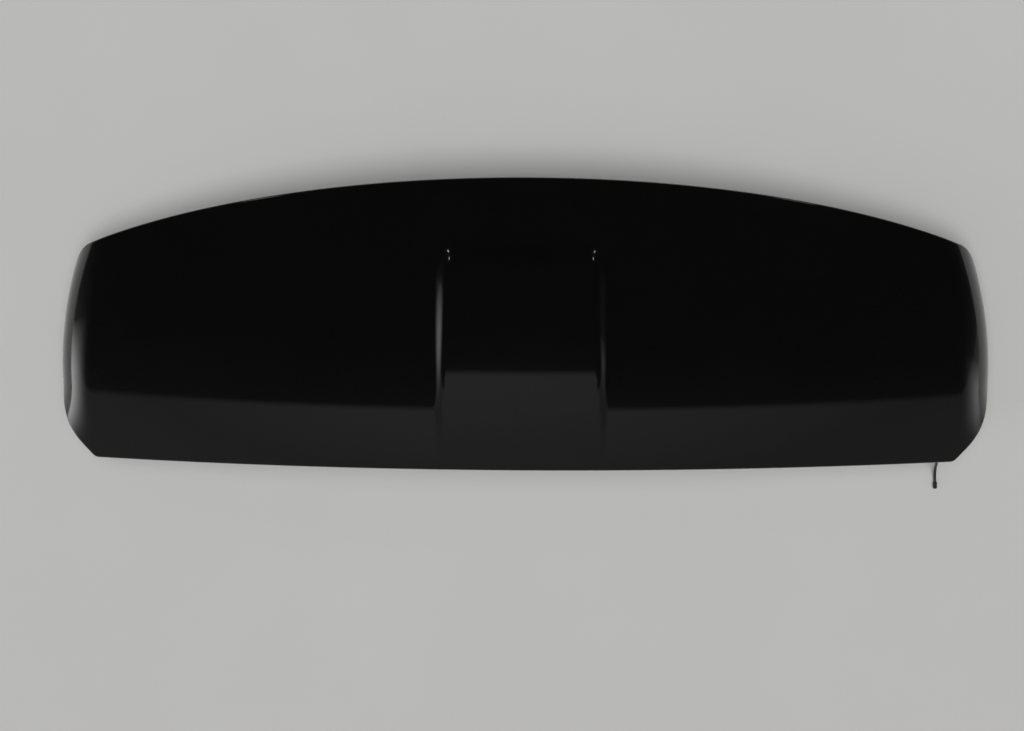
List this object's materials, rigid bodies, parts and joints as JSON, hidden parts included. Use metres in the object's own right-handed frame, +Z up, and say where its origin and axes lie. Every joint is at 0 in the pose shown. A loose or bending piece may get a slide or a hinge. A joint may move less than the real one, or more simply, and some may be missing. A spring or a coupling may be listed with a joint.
{
  "type": "tailgate roof-edge spoiler",
  "caption": "Crowned gloss-black tailgate spoiler with a raised centre panel, rolled sides, a closing inner panel, mounting studs, clips, seals and a short lead.",
  "frame": {"origin": "middle of the four mounting studs, on the plane that their bosses seat on", "axes": "+X to the car's right, +Y to the rear, towards the trailing edge, +Z up, out of the gloss skin"},
  "size_m": [1.2192, 0.4171, 0.1041],
  "materials": {
    "gloss_black": "high-gloss black paint",
    "grained_black": "moulded-in black, fine grain",
    "zinc_steel": "zinc plated",
    "foam": "closed-cell foam",
    "clip_plastic": "natural nylon",
    "rubber": "matt",
    "lead_jacket": "satin jacket"
  },
  "bodies": {
    "root": {"outer_skin": "gloss_black", "inner_panel": "grained_black", "mounting_studs": "zinc_steel", "stud_gaskets": "foam", "edge_clips": "clip_plastic", "leading_edge_seal": "foam", "left_side_seal": "foam", "right_side_seal": "foam", "lead_grommet": "rubber", "antenna_lead": "lead_jacket", "lead_end_sleeve": "rubber"}
  },
  "joints": []
}
